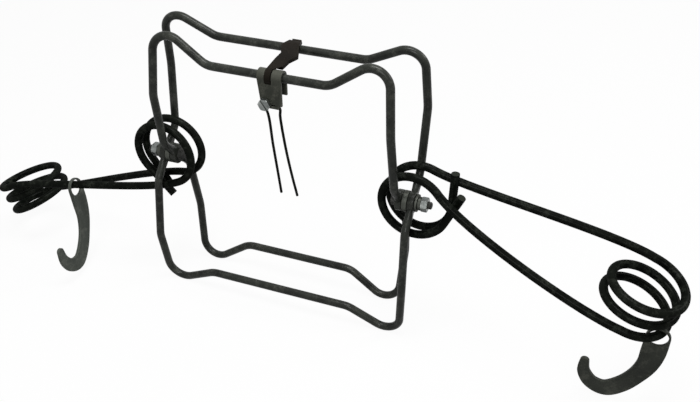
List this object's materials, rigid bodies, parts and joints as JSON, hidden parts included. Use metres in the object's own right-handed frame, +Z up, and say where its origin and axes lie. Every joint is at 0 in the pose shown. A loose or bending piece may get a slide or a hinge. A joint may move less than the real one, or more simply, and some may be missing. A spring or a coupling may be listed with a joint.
{
  "type": "body grip trap",
  "caption": "Body grip trap: square rod jaws crossed on pivot bolts, coil springs with eye rings, safety hooks, and a dog and wire trigger on the inner jaw.",
  "frame": {"origin": "middle of the part's box, at the ground", "axes": "+X along the pivot line to the right spring, +Y away from the trigger side, +Z up"},
  "size_m": [0.66, 0.1094, 0.255],
  "materials": {
    "jaw_rod": "dark oiled steel rod, worn grey on the edges",
    "spring_wire": "near black oiled spring wire",
    "hook_plate": "dark greenish grey stamped plate",
    "trigger_plate": "grey stamped strip with a worn dog",
    "trigger_rod": "black drawn wire",
    "zinc": "bright zinc plated hardware"
  },
  "bodies": {
    "outer_jaw": {"jaw_outer": "jaw_rod", "pivot_bolt_right": "zinc", "pivot_spacer_right": "zinc", "pivot_washer_right": "zinc", "lock_washer_right": "zinc", "pivot_nut_right": "zinc", "pivot_bolt_left": "zinc", "pivot_spacer_left": "zinc", "pivot_washer_left": "zinc", "lock_washer_left": "zinc", "pivot_nut_left": "zinc"},
    "inner_jaw": {"jaw_inner": "jaw_rod"},
    "dog": {"dog": "trigger_plate"},
    "trigger": {"trigger_bracket": "trigger_plate", "trigger_bolt": "zinc", "trigger_washer": "zinc", "trigger_nut": "zinc", "trigger_wire": "trigger_rod"},
    "spring_right": {"spring_right": "spring_wire"},
    "spring_left": {"spring_left": "spring_wire"},
    "hook_right": {"safety_hook_right": "hook_plate"},
    "hook_left": {"safety_hook_left": "hook_plate"}
  },
  "joints": [
    {"name": "inner_jaw_swing", "type": "hinge", "parent": "outer_jaw", "child": "inner_jaw", "pos_m": [-0.01125, 0.01948, 0.12748], "axis": [1, 0, 0], "range_deg": [0, 94]},
    {"name": "dog_lift", "type": "hinge", "parent": "inner_jaw", "child": "dog", "pos_m": [-0.00725, -0.00254, 0.23208], "axis": [1, 0, 0], "range_deg": [0, 90]},
    {"name": "trigger_swing", "type": "hinge", "parent": "inner_jaw", "child": "trigger", "pos_m": [-0.00725, -0.00254, 0.23208], "axis": [1, 0, 0], "range_deg": [-40, 40]},
    {"name": "spring_right_swing", "type": "hinge", "parent": "outer_jaw", "child": "spring_right", "pos_m": [0.10955, 0.01918, 0.12928], "axis": [0.0872, 0.9962, 0], "range_deg": [-25, 50]},
    {"name": "spring_left_swing", "type": "hinge", "parent": "outer_jaw", "child": "spring_left", "pos_m": [-0.12565, 0.01928, 0.12938], "axis": [-0.0209, -0.9998, 0], "range_deg": [-60, 10]},
    {"name": "hook_right_swing", "type": "hinge", "parent": "spring_right", "child": "hook_right", "pos_m": [0.31353, -0.01209, 0.07622], "axis": [-0.5482, -0.8343, 0.058], "range_deg": [-40, 4]},
    {"name": "hook_left_swing", "type": "hinge", "parent": "spring_left", "child": "hook_left", "pos_m": [-0.22363, -0.00183, 0.08219], "axis": [0.9857, 0.077, 0.15], "range_deg": [-50, 20]}
  ],
  "couplings": [
    {"joint": "dog_lift", "follows": "inner_jaw_swing", "ratio": 0.6}
  ]
}
